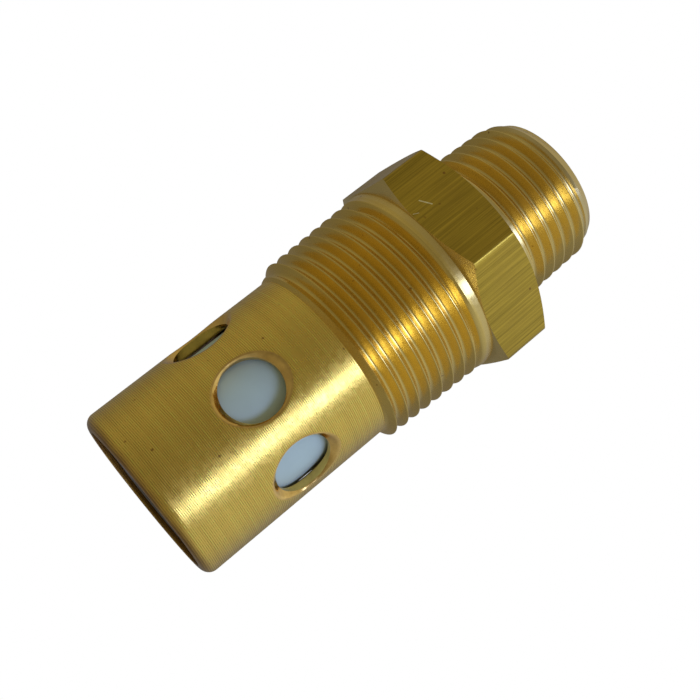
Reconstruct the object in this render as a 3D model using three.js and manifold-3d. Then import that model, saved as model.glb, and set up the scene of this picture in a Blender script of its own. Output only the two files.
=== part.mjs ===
// Automatic air vent for a heating system: a one-piece brass body (float cage, taper inlet thread,
// spanner hexagon, taper outlet thread) with a captive float that rises and shuts a seat in the body.
// Units are millimetres. The vent stands as it is fitted: +Z runs up its axis from the cage's open
// bottom rim (the origin is the rim's centre) to the outlet, and one cage hole faces -Y.

import * as THREE from 'three';
import { mergeVertices } from 'three/addons/utils/BufferGeometryUtils.js';
import Module from 'manifold-3d';

const wasm = await Module();
wasm.setup();

// ---- clearances ---------------------------------------------------------------------------------
const FIT_GAP = 0.3;              // between pieces that rest on or in each other
const GUIDE_GAP = 0.3;            // radial running gap of the float in the cage
const SEATING_GAP = 0.1;          // left between seal and seat when the float is fully up
const CAGE_CLEARANCE = 0.41;      // radial, cage to the tapped hole that it goes in through
const SEAL_CLEARANCE = 1.2;       // radial, seal to the pocket that it rises into

// ---- float cage ---------------------------------------------------------------------------------
const CAGE_WALL = 1.5;
const CAGE_LENGTH = 27.35;        // rim to the foot of the inlet thread's lead-in
const RIM_ROUND = 1.4;            // outer edge of the bottom rim
const RIM_LIP = 0.4;              // height of the lip below the ring groove
const LIP_INSET = 0.2;            // how far the lip stands in from the bore
const HOLE_COUNT = 6;
const HOLE_RADIUS = 3.85;
const COUNTERSINK = 0.87;         // how far it widens a hole at the crown of the cage
const HOLE_HEIGHT = 16.1;         // rim to the holes' centres
const FIRST_HOLE_DEG = -90;

// ---- taper pipe threads, 14 threads to the inch, 55 degrees, taper 1 in 16 ------------------------
const PITCH = 25.4 / 14;
const THREAD_DEPTH = 0.640327 * PITCH;
const THREAD_FLAT = 0.16 * PITCH;       // width of each crest and root
const CREST_TRIM = 0.05;                // worn or topped off each crest
const TAPER = 1 / 32;                   // change of radius along the axis
const LEAD_IN_LENGTH = 0.8;             // inlet thread's lead-in cone
const INLET_LENGTH = 16.15;             // lead-in, thread, run-out and collar, up to the hexagon
const INLET_GAUGE_RADIUS = 26.441 / 2;  // 3/4 thread at its gauge plane
const INLET_GAUGE_LENGTH = 9.53;        // small end of the thread to the gauge plane
const INLET_CREST = 1.92;               // start of the thread up to a crest, at angle 0
const INLET_COLLAR = 0.9;               // plain collar under the hexagon
const OUTLET_LENGTH = 13.7;             // hexagon to the end face
const OUTLET_GAUGE_RADIUS = 20.955 / 2; // 1/2 thread at its gauge plane
const OUTLET_GAUGE_LENGTH = 8.16;
const OUTLET_CREST = 4.11;              // hexagon up to a crest, at angle 0
const OUTLET_COLLAR = 1.5;
const RUN_OUT = 1.3 * PITCH;            // length over which a thread fades into its collar
const END_CHAMFER = 1.15;               // radial size of the outlet end's chamfer
const END_CHAMFER_LENGTH = 2.0;

// ---- hexagon ------------------------------------------------------------------------------------
const HEX_SHOULDER = 0.28;        // flats stand out this far from the inlet thread's gauge radius
const HEX_HEIGHT = 8.2;
const HEX_CORNER_TRIM = 0.09;     // turned off each corner
const HEX_CHAMFER_RISE = 0.93;    // height of each chamfer at the corners
const HEX_CORNER_DEG = -69.7;

// ---- seat and outlet bore -------------------------------------------------------------------------
const SEAT_BELOW_HEX = 12.3;      // hexagon's underside down to the seat's lip
const SEAT_LIP = 0.8;
const SEAT_LIP_WIDTH = 0.9;
const SEAT_THICKNESS = 2.2;
const PORT_RADIUS = 4.5;
const POCKET_RADIUS = 8.2;
const POCKET_CONE = 1.8;          // cone that leads from the cage bore into the pocket
const GASKET_THICKNESS = 1.0;
const OUTLET_BORE_RADIUS = 6.6;
const BORE_CHAMFER = 0.5;

// ---- retaining ring -----------------------------------------------------------------------------
const RING_THICKNESS = 1.0;
const RING_WIDTH = 2.0;
const RING_GROOVE_DEPTH = 0.55;
const RING_GAP_DEG = 46;          // open part of the ring
const RING_GAP_MIDDLE_DEG = -100;
const LUG_RADIUS = 1.6;
const LUG_HOLE_RADIUS = 0.8;

// ---- float and its seal -------------------------------------------------------------------------
const FLOAT_LENGTH = 20.2;
const FLOAT_WALL = 1.1;
const FLOAT_FLOOR = 1.2;
const FLOAT_EDGE = 0.5;
const CAP_THICKNESS = 1.6;
const SPIGOT_LENGTH = 2.8;
const BOSS_RADIUS = 3.2;
const BOSS_LENGTH = 5.6;
const SEAL_THICKNESS = 2.0;
const WASHER_RADIUS = 3.4;
const WASHER_THICKNESS = 0.6;
const SCREW_RADIUS = 1.45;
const SCREW_HEAD_RADIUS = 2.6;
const SCREW_HEAD_HEIGHT = 1.3;
const SCREW_SLOT_WIDTH = 0.7;
const SCREW_SLOT_DEPTH = 0.6;
const SCREW_POINT = 1.0;

// ---- facets ---------------------------------------------------------------------------------------
const SEGMENTS = 36;
const HOLE_SEGMENTS = 24;
const RIM_STEPS = 4;
const CLEAR = 1;                  // how far a cutter reaches past what it cuts
const MERGE_DISTANCE = 1e-4;      // corners closer than this are one corner

// ---- sizes that follow from the ones above ----------------------------------------------------------
const cageRadius = INLET_GAUGE_RADIUS - THREAD_DEPTH - CAGE_CLEARANCE;
const boreRadius = cageRadius - CAGE_WALL;
const inletStart = CAGE_LENGTH + LEAD_IN_LENGTH;
const hexLow = CAGE_LENGTH + INLET_LENGTH;
const hexHigh = hexLow + HEX_HEIGHT;
const endHeight = hexHigh + OUTLET_LENGTH;
const hexFaceRadius = INLET_GAUGE_RADIUS + HEX_SHOULDER;
const seatHeight = hexLow - SEAT_BELOW_HEX;
const pocketTop = seatHeight + SEAT_LIP + SEAT_THICKNESS + GASKET_THICKNESS + 2 * FIT_GAP;
const grooveLow = RIM_LIP;
const grooveHigh = grooveLow + RING_THICKNESS + 2 * FIT_GAP;
const grooveRadius = boreRadius + RING_GROOVE_DEPTH;
const ringLow = grooveLow + FIT_GAP;
const ringHigh = ringLow + RING_THICKNESS;
const floatRadius = boreRadius - GUIDE_GAP;
const floatLow = ringHigh + FIT_GAP;
const floatHigh = floatLow + FLOAT_LENGTH;
const capLow = floatHigh - CAP_THICKNESS;
const shellHigh = capLow - FIT_GAP;
const spigotRadius = floatRadius - FLOAT_WALL - FIT_GAP;
const screwHoleRadius = SCREW_RADIUS + FIT_GAP;
const sealRadius = POCKET_RADIUS - SEAL_CLEARANCE;
const sealLow = floatHigh + FIT_GAP;
const sealHigh = sealLow + SEAL_THICKNESS;
const washerLow = sealHigh + FIT_GAP;
const washerHigh = washerLow + WASHER_THICKNESS;
const headLow = washerHigh + FIT_GAP;
const headHigh = headLow + SCREW_HEAD_HEIGHT;

// The float's travel, from resting on the ring up to the seat. The record's joint range is this.
export const floatTravel = seatHeight - SEATING_GAP - sealHigh;

// ---- helpers --------------------------------------------------------------------------------------
const rad = THREE.MathUtils.degToRad;

// A solid of revolution about Z. The profile is a list of [radius, height] that closes on the axis
// or on itself.
function turned(profile, segments = SEGMENTS) {
  const points = profile.map(([radius, height]) => new THREE.Vector2(radius, height));
  return new THREE.LatheGeometry(points, segments).rotateX(Math.PI / 2);
}

// A turned tube wall: its outer profile going up, its inner profile coming down, closed on itself.
function turnedTube(outer, inner, segments = SEGMENTS) {
  const loop = [...outer, ...inner];
  return turned([...loop, loop[0]], segments);
}

// A closed three.js geometry as a manifold, with its shared corners merged and thin facets dropped.
function solid(geometry) {
  const bare = geometry.clone();
  bare.deleteAttribute('normal');
  bare.deleteAttribute('uv');
  const merged = mergeVertices(bare, MERGE_DISTANCE);
  const corners = merged.index.array;
  const kept = [];
  for (let i = 0; i < corners.length; i += 3) {
    const [a, b, c] = [corners[i], corners[i + 1], corners[i + 2]];
    if (a !== b && b !== c && c !== a) kept.push(a, b, c);
  }
  return new wasm.Manifold(new wasm.Mesh({
    numProp: 3,
    vertProperties: new Float32Array(merged.attributes.position.array),
    triVerts: new Uint32Array(kept),
  }));
}

// A manifold back as a three.js geometry.
function geometryOf(manifold) {
  const mesh = manifold.getMesh();
  const geometry = new THREE.BufferGeometry();
  geometry.setAttribute('position', new THREE.BufferAttribute(mesh.vertProperties, mesh.numProp));
  geometry.setIndex(new THREE.BufferAttribute(mesh.triVerts, 1));
  return geometry;
}

// Crest radius of each taper thread at a height.
const inletCrest = (z) => INLET_GAUGE_RADIUS - CREST_TRIM + (z - inletStart - INLET_GAUGE_LENGTH) * TAPER;
const outletCrest = (z) => OUTLET_GAUGE_RADIUS - CREST_TRIM + (endHeight - OUTLET_GAUGE_LENGTH - z) * TAPER;

// A threaded spigot. A lathe is sheared into a right-hand helix: every row climbs one pitch a turn,
// so row j ends its turn where row j + 4 starts, and four rows make one thread (two crest edges and
// two root edges). A lathe's first column stands a quarter turn before angle 0. Rows are held at the
// ends, crest(z) gives the tapered crest radius, cut(z) runs from 0 on the plain collar to 1 at full
// depth, and envelope(z) trims the chamfered ends.
function threadedSpigot({ low, high, crestHeight, crest, cut, envelope }) {
  const rowsPerPitch = 4;
  const phases = [-THREAD_FLAT / 2, THREAD_FLAT / 2, (PITCH - THREAD_FLAT) / 2, (PITCH + THREAD_FLAT) / 2];
  const depths = [0, 0, THREAD_DEPTH, THREAD_DEPTH];
  const firstTurn = Math.floor((low - crestHeight) / PITCH) - 2;
  const lastTurn = Math.ceil((high - crestHeight) / PITCH) + 1;
  const rows = [];
  for (let turn = firstTurn; turn <= lastTurn; turn += 1) {
    for (let k = 0; k < rowsPerPitch; k += 1) {
      rows.push({ height: crestHeight + turn * PITCH + phases[k], depth: depths[k] });
    }
  }
  const profile = [[0, low], ...rows.map(() => [1, low]), [0, high]];
  const geometry = turned(profile);
  const position = geometry.attributes.position;
  const stride = profile.length;
  for (let column = 0; column <= SEGMENTS; column += 1) {
    const angle = (column / SEGMENTS) * 2 * Math.PI - Math.PI / 2;
    rows.forEach((row, j) => {
      const climbed = row.height + PITCH * (angle / (2 * Math.PI));
      const z = THREE.MathUtils.clamp(climbed, low, high);
      const depth = climbed === z ? row.depth * cut(z) : 0;
      const radius = Math.min(crest(z) - depth, envelope(z));
      const index = column * stride + j + 1;
      position.setXYZ(index, radius * Math.cos(angle), radius * Math.sin(angle), z);
    });
  }
  return geometry;
}

// A smooth step from 0, where a thread has faded into its collar, to 1 at the other end of its run-out.
const fade = (distance) => THREE.MathUtils.smoothstep(distance, 0, RUN_OUT);

// ---- body -----------------------------------------------------------------------------------------
function cageTube() {
  const outer = [[boreRadius - LIP_INSET, 0]];
  for (let i = 0; i <= RIM_STEPS; i += 1) {
    const turn = (i / RIM_STEPS) * (Math.PI / 2);
    outer.push([
      cageRadius - RIM_ROUND + RIM_ROUND * Math.sin(turn),
      RIM_ROUND - RIM_ROUND * Math.cos(turn),
    ]);
  }
  outer.push([cageRadius, inletStart + CLEAR]);
  return solid(turned([[0, 0], ...outer, [0, inletStart + CLEAR]]));
}

function inletSpigot() {
  const leadIn = (z) => cageRadius
    + (inletCrest(inletStart) - cageRadius) * ((z - CAGE_LENGTH) / LEAD_IN_LENGTH);
  return solid(threadedSpigot({
    low: CAGE_LENGTH,
    high: hexLow + CLEAR,
    crestHeight: inletStart + INLET_CREST,
    crest: inletCrest,
    cut: (z) => fade(hexLow - INLET_COLLAR - z),
    envelope: leadIn,
  }));
}

function outletSpigot() {
  const chamferSlope = END_CHAMFER / END_CHAMFER_LENGTH;
  return solid(threadedSpigot({
    low: hexHigh - CLEAR,
    high: endHeight,
    crestHeight: hexHigh + OUTLET_CREST,
    crest: outletCrest,
    cut: (z) => fade(z - hexHigh - OUTLET_COLLAR),
    envelope: (z) => outletCrest(endHeight) - END_CHAMFER + chamferSlope * (endHeight - z),
  }));
}

function hexagon() {
  const cornerDistance = hexFaceRadius / Math.cos(Math.PI / 6);
  const turnedRadius = cornerDistance - HEX_CORNER_TRIM;
  const outline = new THREE.Shape();
  for (let k = 0; k < 6; k += 1) {
    const angle = rad(HEX_CORNER_DEG + 60 * k);
    const corner = [cornerDistance * Math.cos(angle), cornerDistance * Math.sin(angle)];
    if (k === 0) outline.moveTo(...corner);
    else outline.lineTo(...corner);
  }
  const bar = new THREE.ExtrudeGeometry(outline, { depth: HEX_HEIGHT, bevelEnabled: false });
  bar.translate(0, 0, hexLow);
  const turnedDown = turned([
    [0, hexLow],
    [hexFaceRadius, hexLow],
    [turnedRadius, hexLow + HEX_CHAMFER_RISE],
    [turnedRadius, hexHigh - HEX_CHAMFER_RISE],
    [hexFaceRadius, hexHigh],
    [0, hexHigh],
  ], 2 * SEGMENTS);
  return solid(bar).intersect(solid(turnedDown));
}

// Everything bored out along the axis: mouth, ring groove, cage bore, seat pocket and outlet bore.
function boredPassage() {
  const pocketMouth = seatHeight - POCKET_CONE;
  return solid(turned([
    [0, -CLEAR],
    [boreRadius - LIP_INSET, -CLEAR],
    [boreRadius - LIP_INSET, grooveLow],
    [grooveRadius, grooveLow],
    [grooveRadius, grooveHigh],
    [boreRadius, grooveHigh],
    [boreRadius, pocketMouth],
    [POCKET_RADIUS, seatHeight],
    [POCKET_RADIUS, pocketTop],
    [OUTLET_BORE_RADIUS, pocketTop],
    [OUTLET_BORE_RADIUS, endHeight - BORE_CHAMFER],
    [OUTLET_BORE_RADIUS + BORE_CHAMFER, endHeight],
    [OUTLET_BORE_RADIUS + BORE_CHAMFER, endHeight + CLEAR],
    [0, endHeight + CLEAR],
  ]));
}

// One drilled and countersunk hole, lying along +X before it is turned to its place.
function cageHole(angleDeg) {
  const reach = cageRadius + CLEAR;
  const cutter = turned([
    [0, boreRadius - FIT_GAP - CLEAR],
    [HOLE_RADIUS, boreRadius - FIT_GAP - CLEAR],
    [HOLE_RADIUS, cageRadius - COUNTERSINK],
    [HOLE_RADIUS + COUNTERSINK + CLEAR, reach],
    [0, reach],
  ], HOLE_SEGMENTS);
  cutter.rotateY(Math.PI / 2);
  cutter.rotateZ(rad(angleDeg));
  cutter.translate(0, 0, HOLE_HEIGHT);
  return solid(cutter);
}

function valveBody() {
  let body = cageTube().add(inletSpigot()).add(hexagon()).add(outletSpigot());
  body = body.subtract(boredPassage());
  for (let k = 0; k < HOLE_COUNT; k += 1) {
    body = body.subtract(cageHole(FIRST_HOLE_DEG + (360 / HOLE_COUNT) * k));
  }
  return geometryOf(body);
}

// ---- retaining ring ---------------------------------------------------------------------------------
// An open spring ring with a lug and a plier hole at each end.
function snapRing() {
  const outerRadius = grooveRadius - FIT_GAP;
  const innerRadius = outerRadius - RING_WIDTH;
  const start = rad(RING_GAP_MIDDLE_DEG + RING_GAP_DEG / 2);
  const end = rad(RING_GAP_MIDDLE_DEG - RING_GAP_DEG / 2 + 360);
  const arc = new THREE.Shape();
  arc.absarc(0, 0, outerRadius, start, end, false);
  arc.absarc(0, 0, innerRadius, end, start, true);
  const extrude = { depth: RING_THICKNESS, bevelEnabled: false, curveSegments: SEGMENTS };
  let ring = solid(new THREE.ExtrudeGeometry(arc, extrude));
  const lugMiddle = outerRadius - RING_WIDTH / 2 - LUG_RADIUS;
  const lugs = [start, end].map((angle) => new THREE.Vector2(
    lugMiddle * Math.cos(angle),
    lugMiddle * Math.sin(angle),
  ));
  const puck = (centre, radius, low, high) => {
    const geometry = turned([[0, low], [radius, low], [radius, high], [0, high]], HOLE_SEGMENTS);
    return solid(geometry.translate(centre.x, centre.y, 0));
  };
  for (const centre of lugs) {
    ring = ring.add(puck(centre, LUG_RADIUS, 0, RING_THICKNESS));
  }
  for (const centre of lugs) {
    ring = ring.subtract(puck(centre, LUG_HOLE_RADIUS, -CLEAR, RING_THICKNESS + CLEAR));
  }
  return geometryOf(ring).translate(0, 0, ringLow);
}

// ---- float ----------------------------------------------------------------------------------------
function floatShell() {
  const inside = floatRadius - FLOAT_WALL;
  return turned([
    [0, floatLow],
    [floatRadius - FLOAT_EDGE, floatLow],
    [floatRadius, floatLow + FLOAT_EDGE],
    [floatRadius, shellHigh],
    [inside, shellHigh],
    [inside, floatLow + FLOAT_FLOOR],
    [0, floatLow + FLOAT_FLOOR],
  ]);
}

function floatCap() {
  const bossLow = capLow - BOSS_LENGTH;
  const holeLow = bossLow + FLOAT_WALL;
  return turned([
    [0, bossLow],
    [BOSS_RADIUS, bossLow],
    [BOSS_RADIUS, capLow],
    [spigotRadius - FLOAT_WALL, capLow],
    [spigotRadius - FLOAT_WALL, capLow - SPIGOT_LENGTH],
    [spigotRadius, capLow - SPIGOT_LENGTH],
    [spigotRadius, capLow],
    [floatRadius, capLow],
    [floatRadius, floatHigh - FLOAT_EDGE],
    [floatRadius - FLOAT_EDGE, floatHigh],
    [screwHoleRadius, floatHigh],
    [screwHoleRadius, holeLow],
    [0, holeLow],
  ]);
}

const flatRing = (inner, outer, low, high) => turnedTube(
  [[outer, low], [outer, high]],
  [[inner, high], [inner, low]],
);

function sealScrew() {
  const tip = capLow - BOSS_LENGTH + FLOAT_WALL + FIT_GAP;
  const screw = solid(turned([
    [0, tip],
    [SCREW_RADIUS - SCREW_POINT / 2, tip],
    [SCREW_RADIUS, tip + SCREW_POINT],
    [SCREW_RADIUS, headLow],
    [SCREW_HEAD_RADIUS, headLow],
    [SCREW_HEAD_RADIUS, headHigh - FLOAT_EDGE],
    [SCREW_HEAD_RADIUS - FLOAT_EDGE, headHigh],
    [0, headHigh],
  ], HOLE_SEGMENTS));
  const slot = new THREE.BoxGeometry(3 * SCREW_HEAD_RADIUS, SCREW_SLOT_WIDTH, 2 * SCREW_SLOT_DEPTH);
  slot.translate(0, 0, headHigh);
  return geometryOf(screw.subtract(solid(slot)));
}

// ---- seat -----------------------------------------------------------------------------------------
// A bush with a raised lip round its port, which the seal presses on.
function valveSeat() {
  const outer = POCKET_RADIUS - FIT_GAP;
  const lipTop = seatHeight + SEAT_LIP;
  const lipRadius = PORT_RADIUS + SEAT_LIP_WIDTH;
  return turnedTube(
    [[lipRadius, seatHeight], [lipRadius, lipTop], [outer, lipTop], [outer, lipTop + SEAT_THICKNESS]],
    [[PORT_RADIUS, lipTop + SEAT_THICKNESS], [PORT_RADIUS, seatHeight]],
  );
}

function seatGasket() {
  const low = seatHeight + SEAT_LIP + SEAT_THICKNESS + FIT_GAP;
  return flatRing(PORT_RADIUS + SEAT_LIP_WIDTH, POCKET_RADIUS - FIT_GAP, low, low + GASKET_THICKNESS);
}

// ---- assembly ---------------------------------------------------------------------------------------
const brass = { color: 0xb08d3c, roughness: 0.35, metalness: 1 };
const springSteel = { color: 0x7d7f82, roughness: 0.4, metalness: 1 };
const floatPlastic = { color: 0xd9e4ea, roughness: 0.55, metalness: 0 };
const blackRubber = { color: 0x1d1d1f, roughness: 0.8, metalness: 0 };
const redFibre = { color: 0x7a2f24, roughness: 0.9, metalness: 0 };

const pieces = [
  ['valve_body', valveBody(), brass],
  ['valve_seat', valveSeat(), brass],
  ['seat_gasket', seatGasket(), redFibre],
  ['snap_ring', snapRing(), springSteel],
  ['float_shell', floatShell(), floatPlastic],
  ['float_cap', floatCap(), floatPlastic],
  ['seal_disc', flatRing(screwHoleRadius, sealRadius, sealLow, sealHigh), blackRubber],
  ['seal_washer', flatRing(screwHoleRadius, WASHER_RADIUS, washerLow, washerHigh), springSteel],
  ['seal_screw', sealScrew(), springSteel],
];

const airVent = new THREE.Group();
for (const [name, geometry, look] of pieces) {
  const mesh = new THREE.Mesh(geometry, new THREE.MeshStandardMaterial(look));
  mesh.name = name;
  airVent.add(mesh);
}

export default airVent;
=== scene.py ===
"""Automatic air vent: the fine surfaces, finishes and studio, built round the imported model.

The vent stands on the open rim of its float cage. Heights run up its axis from the rim (z = 0)
to the outlet, azimuths turn from +X towards +Y, and every length is in metres.
"""

import math

import bmesh
import bpy
import numpy as np
from bpy.props import FloatProperty, FloatVectorProperty, PointerProperty
from mathutils import Matrix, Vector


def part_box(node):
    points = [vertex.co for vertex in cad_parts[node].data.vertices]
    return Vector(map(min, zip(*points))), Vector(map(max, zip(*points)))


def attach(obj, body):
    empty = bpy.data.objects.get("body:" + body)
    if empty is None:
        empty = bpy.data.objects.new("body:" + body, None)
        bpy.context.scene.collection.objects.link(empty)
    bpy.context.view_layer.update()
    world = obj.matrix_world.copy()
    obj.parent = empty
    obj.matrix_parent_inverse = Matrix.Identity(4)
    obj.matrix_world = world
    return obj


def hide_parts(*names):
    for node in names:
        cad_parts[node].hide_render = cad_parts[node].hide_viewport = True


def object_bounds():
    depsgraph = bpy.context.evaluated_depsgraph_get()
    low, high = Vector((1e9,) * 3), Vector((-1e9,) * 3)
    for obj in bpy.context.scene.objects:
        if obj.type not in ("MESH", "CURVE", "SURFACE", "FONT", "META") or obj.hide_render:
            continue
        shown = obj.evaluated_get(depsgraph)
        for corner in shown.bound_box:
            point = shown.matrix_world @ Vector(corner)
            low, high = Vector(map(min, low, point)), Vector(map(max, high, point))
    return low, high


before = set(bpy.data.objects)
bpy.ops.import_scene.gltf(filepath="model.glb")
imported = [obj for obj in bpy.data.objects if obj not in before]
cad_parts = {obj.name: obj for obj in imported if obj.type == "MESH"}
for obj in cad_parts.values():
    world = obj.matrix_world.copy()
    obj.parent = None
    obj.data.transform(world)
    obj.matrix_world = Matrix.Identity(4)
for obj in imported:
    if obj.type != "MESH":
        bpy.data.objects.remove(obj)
CAD_BOX = [list(corner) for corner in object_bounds()]

bl_info = {
    "name": "Automatic air vent",
    "version": (1, 0, 0),
    "blender": (4, 5, 0),
    "location": "View3D > Sidebar > Air Vent",
    "description": "Builds a brass air vent with a float, its finishes and a small studio",
    "category": "Object",
}

MM = 0.001
TURN = 2 * math.pi
WELD = 1e-7               # points closer than this are one point
CUT_WELD = 20 * WELD      # the same, for points that a boolean made
WELD_PHASE = 0.37         # keeps round numbers off the walls of the weld's cells
SIDE_SHARE = 0.45         # most of a side that one eased corner may take
SHARP = math.radians(32)  # an edge turning more than this is shaded as an edge


def length(name, millimetres, text):
    """A length property with its default given in millimetres."""
    return FloatProperty(name=name, description=text, default=millimetres * MM, unit="LENGTH",
                         precision=5, min=0.0)


def angle(name, degrees, text):
    """An angle property with its default given in degrees."""
    return FloatProperty(name=name, description=text, default=math.radians(degrees),
                         unit="ROTATION")


def colour(name, rgb, text):
    """A linear colour property."""
    return FloatVectorProperty(name=name, description=text, default=rgb, size=3, subtype="COLOR",
                               min=0.0, max=1.0)


def share(name, value, text):
    """A property from nothing (0) to full (1)."""
    return FloatProperty(name=name, description=text, default=value, subtype="FACTOR",
                         min=0.0, max=1.0)


# ---- sizes a user would change ----

class VENT_PG_body(bpy.types.PropertyGroup):
    """Sizes of the one-piece brass body."""
    cage_radius: length("Cage radius", 11.649, "Outside radius of the float cage")
    cage_wall: length("Cage wall", 1.5, "Wall of the float cage")
    cage_length: length("Cage length", 27.35, "Rim to the foot of the inlet thread")
    rim_round: length("Rim round", 1.4, "Radius of the rim's outer edge")
    lip_height: length("Lip height", 0.4, "Height of the lip below the ring's groove")
    lip_inset: length("Lip inset", 0.2, "How far the lip stands in from the bore")
    groove_top: length("Groove top", 2.0, "Height of the top of the ring's groove")
    groove_depth: length("Groove depth", 0.55, "Depth of the ring's groove")
    hole_radius: length("Hole radius", 3.85, "Radius of each drilled hole")
    hole_height: length("Hole height", 16.1, "Rim to the middle of the holes")
    countersink: length("Countersink", 0.87, "How far the countersink widens a hole at its crown")
    hole_azimuth: angle("Hole azimuth", -90, "Azimuth of the first hole")
    pitch: length("Thread pitch", 25.4 / 14, "Pitch of both threads")
    thread_depth: length("Thread depth", 0.640327 * 25.4 / 14, "Depth of both threads")
    taper: FloatProperty(name="Taper", description="Change of thread radius along the axis",
                         default=1 / 32)
    run_out: length("Run-out", 1.36, "Length over which a thread fades into its collar")
    lead_in: length("Lead-in", 0.8, "Length of the inlet thread's lead-in cone")
    inlet_length: length("Inlet length", 16.15, "Foot of the inlet thread to the hexagon")
    inlet_gauge_radius: length("Inlet gauge radius", 13.1705, "Crest radius at the gauge plane")
    inlet_gauge_length: length("Inlet gauge length", 9.53, "Small end to the gauge plane")
    inlet_crest: length("Inlet crest", 1.92, "Start of the thread up to a crest, at azimuth 0")
    inlet_collar: length("Inlet collar", 0.9, "Plain collar under the hexagon")
    outlet_length: length("Outlet length", 13.7, "Hexagon to the end face")
    outlet_gauge_radius: length("Outlet gauge radius", 10.4275, "Crest radius at the gauge plane")
    outlet_gauge_length: length("Outlet gauge length", 8.16, "Small end to the gauge plane")
    outlet_crest: length("Outlet crest", 4.11, "Hexagon up to a crest, at azimuth 0")
    outlet_collar: length("Outlet collar", 1.5, "Plain collar above the hexagon")
    end_chamfer: length("End chamfer", 1.15, "Radial size of the outlet end's chamfer")
    end_chamfer_length: length("End chamfer length", 2.0, "Length of the outlet end's chamfer")
    hex_half_flats: length("Hexagon half flats", 13.5, "Axis to each flat of the hexagon")
    hex_height: length("Hexagon height", 8.2, "Height of the hexagon")
    hex_trim: length("Corner trim", 0.09, "Turned off each corner of the hexagon")
    hex_rise: length("Chamfer rise", 0.93, "Height of each chamfer at the corners")
    hex_azimuth: angle("Corner azimuth", -69.7, "Azimuth of the first corner")
    pocket_radius: length("Pocket radius", 8.2, "Radius of the seat's pocket")
    pocket_cone: length("Pocket cone", 1.8, "Height of the cone below the pocket")
    bore_radius: length("Outlet bore radius", 6.6, "Radius of the outlet bore")
    bore_chamfer: length("Bore chamfer", 0.5, "Chamfer at the mouth of the outlet bore")
    edge_break: length("Edge break", 0.09, "Size of the small break on each turned edge")


class VENT_PG_float(bpy.types.PropertyGroup):
    """Sizes of the hollow plastic float."""
    wall: length("Wall", 1.1, "Wall of the float")
    floor: length("Floor", 1.2, "Thickness of the float's floor")
    edge: length("Edge", 0.5, "Radius of the float's outer edges")
    cap: length("Cap", 1.6, "Thickness of the cap")
    spigot: length("Spigot", 2.8, "Depth of the cap's spigot inside the shell")
    spigot_gap: length("Spigot gap", 0.3, "Clearance of the spigot")
    boss_radius: length("Boss radius", 3.2, "Radius of the boss that the screw bites in")
    screw_hole: length("Screw hole", 1.75, "Radius of the hole in the boss")


class VENT_PG_ring(bpy.types.PropertyGroup):
    """Sizes of the spring ring that keeps the float in."""
    width: length("Width", 2.0, "Radial width of the ring")
    gap: angle("Gap", 46, "Open part of the ring")
    gap_azimuth: angle("Gap azimuth", -100, "Middle of the open part")
    lug_radius: length("Lug radius", 1.6, "Radius of each lug")
    lug_hole: length("Lug hole", 0.8, "Radius of the plier hole in each lug")
    edge: length("Edge", 0.12, "Rounding of the ring's stamped edges")


class VENT_PG_seal(bpy.types.PropertyGroup):
    """Sizes of the seal, its washer and screw, and of the seat they close."""
    screw_hole: length("Screw hole", 1.75, "Radius of the holes in the seal and washer")
    screw_radius: length("Screw radius", 1.45, "Radius of the screw's shank")
    screw_pitch: length("Screw pitch", 0.5, "Pitch of the screw's thread")
    head_height: length("Head height", 1.3, "Height of the screw's head")
    slot_width: length("Slot width", 0.7, "Width of the slot in the head")
    slot_depth: length("Slot depth", 0.6, "Depth of the slot in the head")
    port_radius: length("Port radius", 4.5, "Radius of the port that the seal shuts")
    lip_width: length("Lip width", 0.9, "Width of the lip round the port")
    lip_height: length("Lip height", 0.8, "Height of the lip round the port")
    edge: length("Edge", 0.12, "Rounding of the small edges")


class VENT_PG_finish(bpy.types.PropertyGroup):
    """Colours of the materials."""
    turned: colour("Turned brass", (0.90, 0.60, 0.100), "Brass as the lathe leaves it")
    threaded: colour("Threaded brass", (0.83, 0.59, 0.135), "Fresh brass in the threads")
    drawn: colour("Drawn brass", (0.52, 0.35, 0.038), "Drawn surface of the hexagon bar")
    bored: colour("Bored brass", (0.42, 0.22, 0.045), "Inside of the body")
    faced: colour("Faced brass", (0.80, 0.62, 0.230), "Collars, chamfers and faced ends")
    scratched: colour("Scratched brass", (1.0, 0.85, 0.420), "Bare scratches on the hexagon")
    # painted shade: the rim colour is a darker brown for where the rim rounds under and faces the
    # dark ground
    rim: colour("Rim brass", (0.40, 0.22, 0.060), "Dulled brass round the rim")
    drilled: colour("Drilled brass", (0.90, 0.58, 0.140), "Countersinks and walls of the holes")
    stain: colour("Stain", (0.23, 0.09, 0.020), "Brown stain in corners and specks")
    steel: colour("Steel", (0.24, 0.215, 0.19), "Spring steel, washer and screw")
    plastic: colour("Float plastic", (0.62, 0.765, 0.565), "Moulded float")
    rubber: colour("Rubber", (0.018, 0.018, 0.020), "Seal disc")
    fibre: colour("Fibre", (0.28, 0.055, 0.035), "Seat gasket")


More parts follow.
